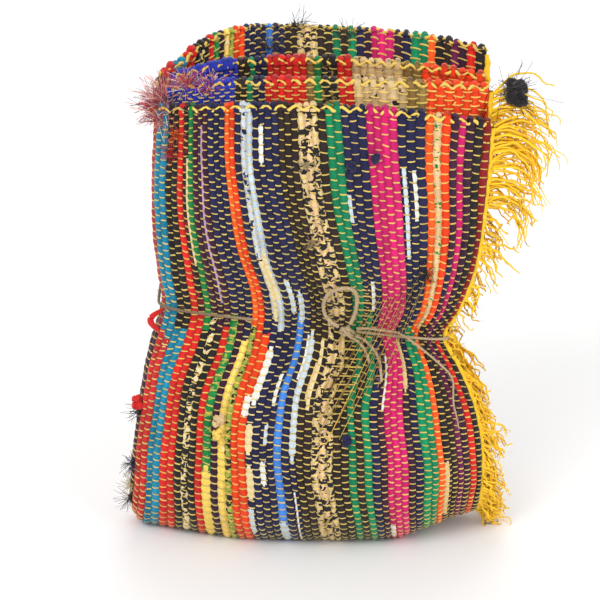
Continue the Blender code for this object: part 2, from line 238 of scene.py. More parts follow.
def cloth(q, share):
    """Middle of the cloth at section place q and path share, -1 at the front edge, 1 at the back."""
    q, share = np.broadcast_arrays(np.asarray(q, float), np.asarray(share, float))
    across, layer, bulge, front, back, curl = section(q)
    side = np.where(share < 0, -1, 1)
    run = np.abs(share)
    angle = 0.5 * math.pi * (1.0 - np.minimum(run, BEND_SHARE) / BEND_SHARE)
    radius = BEND_HEIGHT - bottom_height(across, layer)
    bend = BEND_HEIGHT - radius * np.sin(angle) ** (2.0 / BEND_POWER)
    bend = np.maximum(bend, RUG_THICK / 2)
    leg = BEND_HEIGHT + (SHOULDER - BEND_HEIGHT) * (run - BEND_SHARE) / (SHOULDER_SHARE - BEND_SHARE)
    end = np.where(side < 0, front, back)
    upper = np.maximum(0.0, run - SHOULDER_SHARE) / (1.0 - SHOULDER_SHARE)
    top = SHOULDER + (end - SHOULDER) * upper
    level = np.where(run < BEND_SHARE, bend, np.where(run < SHOULDER_SHARE, leg, top))
    depth = layer_depth(across, level, side, layer)
    depth = np.where(run < BEND_SHARE, depth * np.abs(np.cos(angle)) ** (2.0 / BEND_POWER), depth)
    x = width_place(across, level) + bulge
    z = level - tilt(x, level)
    turn = CURL_TURN * curl * upper * (side > 0)
    arc = CURL_LENGTH / CURL_TURN
    depth = depth + arc * (1.0 - np.cos(turn))
    z = z + arc * np.sin(turn) * 0.9
    return np.stack((x, side * depth, z), axis=-1)


def knot_place():
    off = float(shape(np.float64(WAIST_HEIGHT), "front")) + KNOT_CLEAR
    return np.array((KNOT_X, -off, WAIST_HEIGHT - float(tilt(KNOT_X, WAIST_HEIGHT))))


SHIFT = np.mean(np.array(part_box("twine_knot")), axis=0) - knot_place()


def unit(vectors):
    return vectors / np.maximum(np.linalg.norm(vectors, axis=-1, keepdims=True), 1e-9)


def cloth_frame(q, share, side):
    """Point on the cloth, its outward normal on one side, and the ways along q and share."""
    q, share = np.broadcast_arrays(np.asarray(q, float), np.asarray(share, float))
    step = 0.0015
    low_q = np.clip(q - step, 0.0, LAST)
    high_q = np.clip(q + step, 0.0, LAST)
    low_s = np.clip(share - step, -1.0, 1.0)
    high_s = np.clip(share + step, -1.0, 1.0)
    along_q = cloth(high_q, share) - cloth(low_q, share)
    along_s = cloth(q, high_s) - cloth(q, low_s)
    normal = unit(np.cross(along_q, along_s)) * side
    return cloth(q, share), normal, unit(along_q), unit(along_s)


# ---------------------------------------------------------------- colours
def srgb(red, green, blue):
    """Linear colour from the everyday 0-255 scale."""
    return tuple(((c / 255.0 + 0.055) / 1.055) ** 2.4 if c > 10 else c / 255.0 / 12.92 for c in (red, green, blue))


COLOURS = {
    "red": srgb(206, 32, 28),
    "redfleck": srgb(196, 44, 40),
    "pinkred": srgb(178, 62, 74),
    "darkred": srgb(122, 20, 26),
    "orangered": srgb(232, 62, 18),
    "orange": srgb(236, 88, 26),
    "teal": srgb(22, 126, 158),
    "emerald": srgb(10, 128, 84),
    "green": srgb(22, 122, 58),
    "lime": srgb(150, 160, 62),
    "navy": srgb(30, 30, 66),
    "royal": srgb(38, 52, 168),
    "cornflower": srgb(62, 120, 202),
    "paleblue": srgb(196, 208, 214),
    "lilac": srgb(186, 152, 186),
    "white": srgb(222, 222, 214),
    "cream": srgb(226, 206, 156),
    "beige": srgb(214, 184, 134),
    "yellow": srgb(236, 202, 94),
    "black": srgb(34, 29, 32),
    "brown": srgb(44, 32, 30),
    "purple": srgb(58, 26, 50),
    "plum": srgb(104, 26, 76),
    "magenta": srgb(198, 24, 100),
    "khaki": srgb(134, 108, 58),
    "warp": srgb(238, 208, 104),
    "fringe": srgb(240, 194, 40),
    "jute": srgb(184, 160, 126),
    # Dark jute: painted shadow on the twine band's left part, and a dark thread colour among the frayed rag ends.
    "jute_dark_and_band_shadow": srgb(122, 102, 80),
}
# A print is a ground with blotches of a second colour: ground, blotch, how much of it shows
PRINTS = {
    "print": ("beige", "black", 0.50),
    "printcream": ("black", "cream", 0.46),
    "printgreen": ("lime", "brown", 0.46),
    "creamyellow": ("yellow", "cream", 0.40),
    "greenyellow": ("green", "lime", 0.42),
    "redfleck": ("redfleck", "cream", 0.30),
    "navywhite": ("navy", "paleblue", 0.24),
    "palenavy": ("paleblue", "navy", 0.44),
    "blackkhaki": ("black", "khaki", 0.46),
    "beigeblack": ("beige", "black", 0.38),
    "beigegreen": ("beige", "green", 0.42),
    "orangefleck": ("orangered", "yellow", 0.34),
    "browndark": ("brown", "khaki", 0.24),
    "blackred": ("black", "darkred", 0.40),
}

# Strips of panel A, from the left fold's outermost line to the right edge: above and below the tie
CHART_COLUMNS = ("above", "below")
CHART_A = (
    ("pinkred", "purple"),
    ("teal", "redfleck"),
    ("teal", "redfleck"),
    ("black", "teal"),
    ("black", "teal"),
    ("red", "red"),
    ("blackred", "red"),
    ("green", "black"),
    ("purple", "printcream"),
    ("purple", "black"),
    ("purple", "red"),
    ("navy", "greenyellow"),
    ("navy", "purple"),
    ("navy", "creamyellow"),
    ("orange", "printgreen"),
    ("orangered", "orangered"),
    ("navy", "orangered"),
    ("palenavy", "navywhite"),
    ("paleblue", "navy"),
    ("navy", "navywhite"),
    ("navywhite", "navy"),
    ("navy", "cornflower"),
    ("navy", "navy"),
    ("brown", "navy"),
    ("brown", "brown"),
    ("brown", "browndark"),
    ("print", "print"),
    ("print", "print"),
    ("print", "print"),
    ("brown", "brown"),
    ("emerald", "brown"),
    ("emerald", "emerald"),
    ("navy", "brown"),
    ("navy", "emerald"),
    ("navy", "navy"),
    ("magenta", "purple"),
    ("magenta", "magenta"),
    ("magenta", "magenta"),
    ("magenta", "magenta"),
    ("navywhite", "purple"),
    ("navy", "navy"),
    ("navy", "emerald"),
    ("orange", "emerald"),
    ("beigegreen", "orange"),
    ("orangered", "black"),
    ("purple", "brown"),
    ("magenta", "plum"),
    ("purple", "purple"),
    ("black", "red"),
    ("darkred", "black"),
)
# Runs of panel D, from its left fold to the right edge: colour and number of strips
RUNS_D = (
    ("royal", 11), ("brown", 2), ("emerald", 1), ("navy", 2), ("red", 6), ("khaki", 1), ("green", 1),
    ("blackkhaki", 2), ("red", 2), ("beigeblack", 6), ("khaki", 2), ("orangefleck", 7),
)
# Runs of the fold's far side and of panels B and C, which lie inside
RUNS_INSIDE = (
    ("purple", 3), ("teal", 2), ("black", 3), ("red", 4), ("cream", 1), ("navy", 5), ("orange", 2),
    ("emerald", 3), ("brown", 4), ("beigeblack", 3), ("magenta", 4), ("navy", 3), ("yellow", 2),
    ("plum", 4), ("green", 2), ("orangered", 3), ("black", 3), ("cornflower", 2), ("khaki", 3),
    ("red", 5), ("navy", 6), ("print", 3), ("lilac", 1), ("teal", 3), ("brown", 5), ("orange", 3),
    ("royal", 12),
)
# Slivers and patches on panel A's front: strip, from and to level, side of the strip, colour
PATCH_COLUMNS = ("strip", "low", "high", "from_cell", "to_cell", "colour")
PATCHES = (
    (9, 0.165, 0.285, 3, 4, "lilac"),
    (6, 0.190, 0.262, 3, 4, "cream"),
    (20, 0.262, 0.288, 0, 3, "white"),
    (17, 0.150, 0.200, 2, 4, "cream"),
    (18, 0.168, 0.206, 0, 3, "cream"),
    (32, 0.224, 0.244, 0, 2, "paleblue"),
    (39, 0.196, 0.262, 1, 3, "paleblue"),
    (40, 0.222, 0.258, 2, 4, "white"),
    (20, 0.158, 0.186, 0, 3, "paleblue"),
    (21, 0.151, 0.176, 1, 4, "paleblue"),
    (33, 0.160, 0.184, 2, 4, "white"),
    (45, 0.170, 0.192, 0, 4, "navy"),
    (17, 0.104, 0.138, 0, 4, "white"),
    (17, 0.072, 0.092, 0, 4, "cream"),
    (17, 0.040, 0.064, 0, 4, "cream"),
    (17, 0.010, 0.034, 0, 3, "paleblue"),
    (16, 0.096, 0.110, 1, 4, "white"),
    (20, 0.102, 0.122, 0, 2, "white"),
    (19, 0.078, 0.092, 2, 4, "paleblue"),
    (19, 0.050, 0.068, 0, 3, "white"),
    (23, 0.066, 0.147, 0, 4, "paleblue"),
    (22, 0.118, 0.143, 3, 4, "white"),
    (23, 0.004, 0.046, 1, 2, "white"),
    (25, 0.100, 0.143, 0, 2, "cream"),
    (24, 0.108, 0.128, 3, 4, "beige"),
    (21, 0.002, 0.022, 0, 4, "paleblue"),
    (35, 0.098, 0.132, 2, 4, "white"),
    (39, 0.108, 0.142, 0, 3, "beige"),
    (36, 0.006, 0.020, 0, 3, "white"),
    (13, 0.050, 0.074, 0, 4, "yellow"),
    (11, 0.000, 0.060, 0, 4, "yellow"),
    (44, 0.020, 0.062, 0, 2, "beige"),
)

STRIP_WIDTH = 0.0046
FLOOR_CLEAR = 0.0001
STITCH_PITCH = 0.0050
STRIP_CELLS = 4
STRIPS_A = len(CHART_A)


def expand(runs, count):
    """The runs as one colour for each strip, stretched or cut to count strips."""
    names = [name for name, number in runs for _ in range(number)]
    return [names[min(len(names) - 1, int(i * len(names) / count))] for i in range(count)]


def lay_strips():
    """Edges of every weft strip along the section, and its colours above and below the tie."""
    places = np.linspace(0.0, LAST, 4201)
    line = cloth(places, -0.40)
    lengths = np.concatenate(((0.0,), np.cumsum(np.linalg.norm(np.diff(line, axis=0), axis=1))))
    marks = np.interp((0.0, 1.5, 6.0, LAST), places, lengths)
    generator = np.random.default_rng(11)
    edges = [np.zeros(1)]
    above = []
    below = []
    for part in range(3):
        length = marks[part + 1] - marks[part]
        if part == 0:
            count = STRIPS_A
            tops = [row[0] for row in reversed(CHART_A)]
            bottoms = [row[1] for row in reversed(CHART_A)]
        else:
            count = int(round(length / STRIP_WIDTH))
            tops = expand((RUNS_INSIDE, RUNS_D)[part - 1], count)
            bottoms = tops
        widths = 1.0 + generator.uniform(-0.12, 0.12, count)
        ends = marks[part] + length * np.cumsum(widths) / widths.sum()
        edges.append(np.interp(ends, lengths, places))
        above.extend(tops)
        below.extend(bottoms)
    return np.concatenate(edges), above, below, np.gradient(places, lengths), places


EDGES, ABOVE, BELOW, RATE, RATE_AT = lay_strips()
STRIPS = len(ABOVE)
RANDOM = np.random.default_rng(5)
PHASES = 0.5 * (np.arange(STRIPS) % 2) + RANDOM.uniform(-0.05, 0.05, STRIPS)
CHANGE = WAIST_HEIGHT + RANDOM.uniform(-0.012, 0.010, STRIPS)
TINTS = RANDOM.uniform(0.86, 1.12, (STRIPS, 1)) * RANDOM.uniform(0.95, 1.05, (STRIPS, 3))
WAVES = RANDOM.uniform(0.0, 2.0 * math.pi, (STRIPS, 4))


def colour_rows(names):
    """Ground, blotch and blotch share for each named colour."""
    ground = []
    blotch = []
    amount = []
    for name in names:
        base, other, share = PRINTS.get(name, (name, name, 0.0))
        ground.append(COLOURS[base])
        blotch.append(COLOURS[other])
        amount.append(share)
    return np.array(ground), np.array(blotch), np.array(amount)


# ---------------------------------------------------------------- meshes
class Pile:
    """Collects grids, tubes and ribbons for one joined mesh, with a colour for each face."""

    def __init__(self):
        self.points = []
        self.quads = []
        self.colours = []
        self.prints = []
        self.count = 0

    def grids(self, points, colours, prints=None, ring=False):
        """points: copies x rows x columns x 3. colours: one for each copy, or for each face."""
        copies, rows, columns, _ = points.shape
        index = np.arange(copies * rows * columns).reshape(copies, rows, columns) + self.count
        if ring:
            index = np.concatenate((index, index[:, :, :1]), axis=2)
        quads = np.stack((index[:, :-1, :-1], index[:, :-1, 1:], index[:, 1:, 1:], index[:, 1:, :-1]), axis=-1)
        faces = quads.shape[1] * quads.shape[2]
        if len(colours) == copies:
            colours = np.repeat(colours, faces, axis=0)
        if prints is None:
            prints = np.concatenate((colours, np.zeros((len(colours), 1))), axis=1)
        self.points.append(points.reshape(-1, 3))
        self.quads.append(quads.reshape(-1, 4))
        self.colours.append(colours.reshape(-1, 3))
        self.prints.append(prints.reshape(-1, 4))
        self.count += copies * rows * columns

    def tubes(self, paths, radii, colours, sides=5, twist=None):
        """paths: copies x rings x 3. radii: copies x rings. colours: one for each copy."""
        tangent = unit(np.gradient(paths, axis=1))
        guide = np.zeros_like(tangent)
        flat = np.abs(tangent[..., 2:3]) < 0.8
        guide[...] = np.where(flat, (0.0, 0.0, 1.0), (0.0, 1.0, 0.0))
        across = unit(np.cross(tangent, guide))
        up = np.cross(across, tangent)
        angle = np.linspace(0.0, 2.0 * math.pi, sides, endpoint=False)
        ring = radii[..., None]
        if twist is not None:
            turn = twist[..., None]
            ring = ring * (0.70 + 0.30 * np.abs(np.cos(angle - turn)) ** 0.7)
        points = paths[:, :, None, :] + across[:, :, None, :] * (ring * np.cos(angle))[..., None]
        points = points + up[:, :, None, :] * (ring * np.sin(angle))[..., None]
        self.grids(points, colours, ring=True)

    def build(self, name, material, smooth=True):
        points = np.concatenate(self.points) + SHIFT
        points[:, 2] = np.maximum(points[:, 2], FLOOR_CLEAR)
        quads = np.concatenate(self.quads)
        mesh = bpy.data.meshes.new(name)
        mesh.vertices.add(len(points))
        mesh.vertices.foreach_set("co", points.astype(np.float32).ravel())
        mesh.loops.add(quads.size)
        mesh.loops.foreach_set("vertex_index", quads.astype(np.int32).ravel())
        mesh.polygons.add(len(quads))
        mesh.polygons.foreach_set("loop_start", np.arange(0, quads.size, 4, dtype=np.int32))
        mesh.update(calc_edges=True)
        colours = np.concatenate(self.colours)
        full = np.concatenate((colours, np.ones((len(colours), 1))), axis=1)
        for title, values in (("strip_color", full), ("print_color", np.concatenate(self.prints))):
            layer = mesh.color_attributes.new(name=title, type="FLOAT_COLOR", domain="CORNER")
            layer.data.foreach_set("color", np.repeat(values, 4, axis=0).astype(np.float32).ravel())
        if smooth:
            mesh.shade_smooth()
        mesh.materials.append(material)
        piece = bpy.data.objects.new(name, mesh)
        bpy.context.scene.collection.objects.link(piece)
        return piece


def even_shares(q, low, high, spacing):
    """Path shares evenly spaced along the cloth at section place q, and their lengths from low."""
    shares = np.linspace(low, high, 1600)
    line = cloth(np.full(shares.shape, q), shares)
    lengths = np.concatenate(((0.0,), np.cumsum(np.linalg.norm(np.diff(line, axis=0), axis=1))))
    count = max(4, int(round(lengths[-1] / spacing)))
    marks = np.linspace(0.0, lengths[-1], count + 1)
    return np.interp(marks, lengths, shares), marks


def wobble(strip, run):
    """Slow sideways wander of the strips, shared by neighbours, in metres."""
    wave = 0.00055 * np.sin(run / 0.023 + strip * 0.11) + 0.0004 * np.sin(run / 0.0097 + strip * 0.23 + 1.0)
    return wave


def rate_at(q):
    return np.interp(q, RATE_AT, RATE)


def bounds_of(strip, run):
    """Section place of a strip's lower edge at a length along it. Stitches pinch the strips."""
    pinch = 0.00038 * np.cos(2.0 * math.pi * (run / STITCH_PITCH + PHASES[np.clip(strip - 1, 0, STRIPS - 1)]))
    place = EDGES[strip] + (wobble(strip, run) - pinch) * rate_at(EDGES[strip])
    return np.clip(np.where((strip == 0) | (strip == STRIPS), EDGES[strip], place), 0.0, LAST)


def swell_near_edge(share):
    """Strips are looser and fatter near the woven edges."""
    return 1.0 + 0.35 * smoothstep((np.abs(share) - 0.93) / 0.07)


def strip_height(strip, run, across, share):
    """How far a strip stands off the middle of the cloth. across is -1 to 1 over its width."""
    phase = run / STITCH_PITCH + PHASES[strip]
    round_top = np.sqrt(np.maximum(0.0, 1.0 - (0.94 * across) ** 2))
    loose = 0.74 + 0.26 * np.abs(np.sin(math.pi * phase))
    waves = WAVES[strip]
    crease = 0.10 * np.sin(run / 0.0031 + waves[..., 0] + 2.0 * across)
    crease = crease + 0.09 * np.sin(run / 0.0071 + waves[..., 1] - 1.4 * across)
    crease = crease + 0.08 * np.sin(run / 0.0172 + waves[..., 2])
    return 0.00095 + 0.00180 * round_top * loose * swell_near_edge(share) * (1.0 + crease)


def strip_colours(strip, run, level, cell, front):
    """Ground and print colour of the faces of strips, by the listed charts and patches."""
    ground_above, blotch_above, share_above = colour_rows(ABOVE)
    ground_below, blotch_below, share_below = colour_rows(BELOW)
    up = (level > CHANGE[strip]) & front
    ground = np.where(up[..., None], ground_above[strip], ground_below[strip])
    blotch = np.where(up[..., None], blotch_above[strip], blotch_below[strip])
    share = np.where(up, share_above[strip], share_below[strip])
    waves = WAVES[strip]
    shade = 1.0 + 0.10 * np.sin(run / 0.011 + waves[..., 3]) + 0.08 * np.sin(run / 0.0043 + waves[..., 1])
    # The two outer cells of each strip, beside the grooves between strips, are darkened to 0.80: painted shade in
    # the grooves.
    groove_shade = np.where((cell == 0) | (cell == STRIP_CELLS - 1), 0.80, 1.0)
    ground = ground * (shade * groove_shade)[..., None] * TINTS[strip]
    for number, low, high, first, last, colour in PATCHES:
        index = STRIPS_A - 1 - number
        middle = (low + high) / 2
        reach = np.clip(1.0 - np.abs(level - middle) / (high - low) * 2.0, 0.0, 1.0)
        width = (last - first) * np.minimum(1.0, reach * 3.0 + 0.25)
        centre = (first + last) / 2
        place = STRIP_CELLS - 0.5 - cell
        here = front & (strip == index) & (reach > 0.0) & (np.abs(place - centre) < width / 2 + 0.05)
        ground = np.where(here[..., None], np.array(COLOURS[colour]) * (0.94 + 0.06 * shade[..., None]), ground)
        share = np.where(here, 0.0, share)
    return np.clip(ground, 0.0, 1.0), np.concatenate((blotch, share[..., None]), axis=-1)


def weave(pile, stitches, first, last, low, high, side, row_spacing):
    """The woven face of strips first to last, from path share low to high, with its stitches."""
    middle = 0.5 * (EDGES[first] + EDGES[last])
    shares, runs = even_shares(middle, low, high, row_spacing)
    runs = runs + 0.7 * low
    count = last - first
    strips = np.arange(first, last + 1)
    bounds = bounds_of(strips[None, :], runs[:, None])
    across = np.arange(STRIP_CELLS) / STRIP_CELLS
    columns = bounds[:, :-1, None] + (bounds[:, 1:, None] - bounds[:, :-1, None]) * across
    q = np.concatenate((columns.reshape(len(runs), -1), bounds[:, -1:]), axis=1)
    strip_of = np.append(np.repeat(strips[:-1], STRIP_CELLS), strips[-2])
    place = np.append(np.tile(across * 2.0 - 1.0, count), 1.0)
    point, normal, _, _ = cloth_frame(q, shares[:, None], side)
    height = strip_height(strip_of[None, :], runs[:, None], place[None, :], shares[:, None])
    point = point + normal * height[..., None]
    face_strip = np.repeat(strips[:-1], STRIP_CELLS)[None, :] + np.zeros((len(runs) - 1, 1), int)
    cell = np.tile(np.arange(STRIP_CELLS), count)[None, :] + np.zeros((len(runs) - 1, 1), int)
    run = 0.5 * (runs[1:] + runs[:-1])[:, None]
    level = 0.5 * (point[1:, :-1, 2] + point[:-1, :-1, 2])
    front = np.broadcast_to((shares[:-1] < 0.0)[:, None], level.shape) & (side > 0)
    ground, prints = strip_colours(face_strip, run, level, cell, front)
    flip = 1 if side > 0 else -1
    grid = point[None, :, ::flip]
    pile.grids(grid, ground[:, ::flip].reshape(-1, 3), prints[:, ::flip].reshape(-1, 4))
    stitch(stitches, strips[:-1], shares, runs, side)


def stitch(pile, strips, shares, runs, side):
    """Warp stitches: short yarn arcs over each strip, staggered from one strip to the next."""
    generator = np.random.default_rng(int(strips[0]) * 7 + len(runs) + (3 if side > 0 else 0))
    number, run = [], []
    offset = 0.0 if side > 0 else 0.5
    for strip in strips:
        phase = PHASES[strip] + offset
        start = math.ceil(runs[0] / STITCH_PITCH + phase)
        stop = math.floor(runs[-1] / STITCH_PITCH + phase)
        marks = (np.arange(start, stop + 1) - phase) * STITCH_PITCH
        number.append(np.full(len(marks), strip))
        run.append(marks)
    number = np.concatenate(number)
    run = np.concatenate(run) + generator.normal(0.0, 0.00018, len(number))
    spread = np.array((-1.0, -0.62, 0.0, 0.62, 1.0))
    slant = generator.normal(0.0, 0.00022, (len(number), 1))
    runs_here = run[:, None] + slant * spread
    low = bounds_of(number, run)[:, None]
    high = bounds_of(number + 1, run)[:, None]
    q = (low + high) / 2 + (high - low) / 2 * spread * 1.02
    share = np.interp(runs_here, runs, shares)
    point, normal, _, along = cloth_frame(q, share, side)
    height = strip_height(number[:, None], run[:, None], spread[None, :], share)
    thick = generator.uniform(0.00040, 0.00058, (len(number), 1, 1))
    point = point + normal * (height - 0.00006)[..., None]
    turn = np.radians((-20.0, 55.0, 125.0, 200.0))
    ring = along[:, :, None, :] * (np.cos(turn)[:, None] * thick[..., None] * 1.15)
    ring = ring + normal[:, :, None, :] * (np.sin(turn)[:, None] * thick[..., None])
    names = [ABOVE[i] for i in number]
    ground, _, _ = colour_rows(names)
    tone = generator.uniform(0.78, 1.08, (len(number), 1))
    colours = (np.array(COLOURS["warp"]) * 0.82 + ground * 0.18) * tone
    pile.grids(point[:, :, None, :] + ring, colours)


# ---------------------------------------------------------------- materials
MIX_FACTOR, MIX_FIRST, MIX_SECOND = 0, 6, 7        # a Mix node's sockets for colours
MIX_COLOUR = 2


def node_material(name, roughness, sheen, bump, grain_scale, grain):
    """A cloth material: charted colour, blotched print, thread grain and creased bump."""
    material = bpy.data.materials.new(name)
    material.use_nodes = True
    nodes = material.node_tree.nodes
    links = material.node_tree.links
    shader = nodes["Principled BSDF"]
    shader.inputs["Roughness"].default_value = roughness
    shader.inputs["Specular IOR Level"].default_value = 0.25
    shader.inputs["Sheen Weight"].default_value = sheen
    shader.inputs["Sheen Roughness"].default_value = 0.5
    place = nodes.new("ShaderNodeTexCoord")
    ground = nodes.new("ShaderNodeAttribute")
    ground.attribute_name = "strip_color"
    blotch = nodes.new("ShaderNodeAttribute")
    blotch.attribute_name = "print_color"
    spots = nodes.new("ShaderNodeTexNoise")
    spots.inputs["Scale"].default_value = 230.0
    spots.inputs["Detail"].default_value = 2.5
    spots.inputs["Distortion"].default_value = 0.8
    links.new(place.outputs["Object"], spots.inputs["Vector"])
    threshold = nodes.new("ShaderNodeMath")
    threshold.operation = "SUBTRACT"
    threshold.inputs[0].default_value = 1.0
    links.new(blotch.outputs["Alpha"], threshold.inputs[1])
    cover = nodes.new("ShaderNodeMapRange")
    cover.inputs["From Min"].default_value = -0.015
    cover.inputs["From Max"].default_value = 0.015
    difference = nodes.new("ShaderNodeMath")
    difference.operation = "SUBTRACT"
    links.new(spots.outputs["Fac"], difference.inputs[0])
    links.new(threshold.outputs[0], difference.inputs[1])
    links.new(difference.outputs[0], cover.inputs["Value"])
    mix = nodes.new("ShaderNodeMix")
    mix.data_type = "RGBA"
    links.new(cover.outputs["Result"], mix.inputs[MIX_FACTOR])
    links.new(ground.outputs["Color"], mix.inputs[MIX_FIRST])
    links.new(blotch.outputs["Color"], mix.inputs[MIX_SECOND])
    threads = nodes.new("ShaderNodeTexNoise")
    threads.inputs["Scale"].default_value = grain_scale
    threads.inputs["Detail"].default_value = 4.0
    threads.inputs["Roughness"].default_value = 0.65
    links.new(place.outputs["Object"], threads.inputs["Vector"])
    strength = nodes.new("ShaderNodeMapRange")
    strength.inputs["From Min"].default_value = 0.25
    strength.inputs["From Max"].default_value = 0.75
    strength.inputs["To Min"].default_value = 1.0 - grain
    strength.inputs["To Max"].default_value = 1.0 + grain
    links.new(threads.outputs["Fac"], strength.inputs["Value"])
    shade = nodes.new("ShaderNodeMix")
    shade.data_type = "RGBA"
    shade.blend_type = "MULTIPLY"
    shade.inputs[MIX_FACTOR].default_value = 1.0
    links.new(mix.outputs[MIX_COLOUR], shade.inputs[MIX_FIRST])
    links.new(strength.outputs["Result"], shade.inputs[MIX_SECOND])
    links.new(shade.outputs[MIX_COLOUR], shader.inputs["Base Color"])
    relief = nodes.new("ShaderNodeBump")
    relief.inputs["Strength"].default_value = bump
    relief.inputs["Distance"].default_value = 0.0006
    links.new(threads.outputs["Fac"], relief.inputs["Height"])
    links.new(relief.outputs["Normal"], shader.inputs["Normal"])
    return material


def settle(piece, node):
    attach(piece, "root")
    if node:
        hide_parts(node)
    return piece


# ---------------------------------------------------------------- camera, light and floor
PHOTO_SCALE = 0.00062              # metres for each of the picture's 600 parts, at the front
FRAME_PARTS = 600
CAMERA_DISTANCE = 1.7
CAMERA_ELEVATION = math.radians(22.0)
CAMERA_AIM = (-0.0062, -0.050, 0.1765)


def make_camera():
    data = bpy.data.cameras.new("camera")
    data.sensor_width = 36.0
    half = PHOTO_SCALE * FRAME_PARTS / 2
    data.lens = 18.0 * CAMERA_DISTANCE / half
    camera = bpy.data.objects.new("camera", data)
    bpy.context.scene.collection.objects.link(camera)
    aim = np.array(CAMERA_AIM) + SHIFT
    back = np.array((0.0, -math.cos(CAMERA_ELEVATION), math.sin(CAMERA_ELEVATION)))
    camera.location = aim + back * CAMERA_DISTANCE
    camera.rotation_euler = (math.pi / 2 - CAMERA_ELEVATION, 0.0, 0.0)
    data.clip_start = 0.05
    data.clip_end = 20.0
    bpy.context.scene.camera = camera


LIGHTS_COLUMNS = ("name", "place", "size", "power", "aim")
LIGHTS = (
    ("key", (-0.75, -1.15, 1.35), 1.1, 14.5, (0.0, 0.0, 0.15)),
    ("fill", (1.10, -0.95, 0.75), 1.2, 7.5, (0.0, 0.0, 0.15)),
    ("back", (0.10, 1.20, 1.30), 1.2, 9.0, (0.0, 0.0, 0.20)),
)


def make_lights():
    from mathutils import Vector

    for name, place, size, power, aim in LIGHTS:
        data = bpy.data.lights.new(name, "AREA")
        data.shape = "DISK"
        data.size = size
        data.energy = power
        lamp = bpy.data.objects.new(name, data)
        lamp.location = place
        lamp.rotation_euler = (Vector(aim) - Vector(place)).to_track_quat("-Z", "Y").to_euler()
        bpy.context.scene.collection.objects.link(lamp)
    world = bpy.data.worlds.new("studio")
    bpy.context.scene.world = world
    world.use_nodes = True
    world.node_tree.nodes["Background"].inputs["Color"].default_value = (1.0, 1.0, 1.0, 1.0)
    world.node_tree.nodes["Background"].inputs["Strength"].default_value = 0.75


def make_floor():
    mesh = bpy.data.meshes.new("floor")
    half = 6.0
    mesh.from_pydata([(-half, -half, 0), (half, -half, 0), (half, half, 0), (-half, half, 0)], [], [(0, 1, 2, 3)])
    floor = bpy.data.objects.new("floor", mesh)
    bpy.context.scene.collection.objects.link(floor)
    material = bpy.data.materials.new("pale_floor")
    material.use_nodes = True
    shader = material.node_tree.nodes["Principled BSDF"]
    shader.inputs["Base Color"].default_value = (0.88, 0.88, 0.88, 1.0)
    shader.inputs["Roughness"].default_value = 0.8
    floor.data.materials.append(material)


# ---------------------------------------------------------------- twine
BOW_ROUTE = (
    (-0.0052, 0.0040, 0.0036), (-0.0095, 0.0068, 0.0032), (-0.0135, 0.0112, 0.0026),
    (-0.0150, 0.0165, 0.0022), (-0.0146, 0.0225, 0.0020), (-0.0122, 0.0288, 0.0022),
    (-0.0075, 0.0332, 0.0026), (-0.0015, 0.0346, 0.0028), (0.0036, 0.0318, 0.0028),
    (0.0058, 0.0262, 0.0024), (0.0056, 0.0195, 0.0022), (0.0046, 0.0135, 0.0024),
    (0.0030, 0.0088, 0.0030), (0.0018, 0.0056, 0.0036),
)
SHORT_TAIL_ROUTE = (
    (-0.0030, 0.0050, 0.0072), (-0.0010, 0.0015, 0.0080), (0.0020, -0.0020, 0.0074),
    (0.0058, -0.0050, 0.0050), (0.0098, -0.0092, 0.0034), (0.0126, -0.0140, 0.0028),
    (0.0140, -0.0186, 0.0026),
)
MID_TAIL_ROUTE = (
    (0.0046, -0.0028, 0.0036), (0.0092, -0.0046, 0.0028), (0.0140, -0.0080, 0.0026),
    (0.0180, -0.0126, 0.0026), (0.0204, -0.0178, 0.0028), (0.0212, -0.0236, 0.0030),
    (0.0216, -0.0290, 0.0032),
)
LONG_TAIL_ROUTE = (
    (0.0056, 0.0022, 0.0040), (0.0120, 0.0024, 0.0036), (0.0190, 0.0018, 0.0036),
    (0.0270, 0.0008, 0.0038), (0.0335, -0.0012, 0.0050), (0.0395, -0.0050, 0.0054),
    (0.0462, -0.0108, 0.0040), (0.0530, -0.0170, 0.0030), (0.0595, -0.0232, 0.0026),
    (0.0645, -0.0285, 0.0026), (0.0674, -0.0345, 0.0026), (0.0676, -0.0415, 0.0026),
    (0.0680, -0.0490, 0.0026), (0.0700, -0.0570, 0.0026), (0.0716, -0.0650, 0.0026),
)
TWINE_STEP = 0.00045
TWIST_PITCH = 0.0052


def band_line(off):
    angle = np.radians(np.arange(-90.0, 271.0, 0.5))
    left = float(shape(np.float64(WAIST_HEIGHT), "left")) - off
    right = float(shape(np.float64(WAIST_HEIGHT), "right")) + FRINGE_HEADING + GAP + off
    depth = float(shape(np.float64(WAIST_HEIGHT), "front")) + off
    cosine = np.cos(angle)
    sine = np.sin(angle)
    x = (left + right) / 2 + (right - left) / 2 * np.copysign(np.abs(cosine) ** (2 / BAND_POWER), cosine)
    y = depth * np.copysign(np.abs(sine) ** (2 / BAND_POWER), sine)
    return np.stack((x, y, WAIST_HEIGHT - tilt(x, WAIST_HEIGHT)), axis=-1)


def front_route(route):
    knot = knot_place()
    rows = np.array(route)
    x = knot[0] + rows[:, 0]
    z = knot[2] + rows[:, 1]
    level = z + tilt(x, z)
    left = width_place(-1.0, level)
    right = width_place(1.0, level)
    share = (x - left) / (right - left)
    share = share - shape(level, "lean") * np.sin(math.pi * share)
    depth = half_depth(2.0 * share - 1.0, level, -1) + rows[:, 2] + ROUTE_CLEAR
    return np.stack((x, -depth, z), axis=-1)


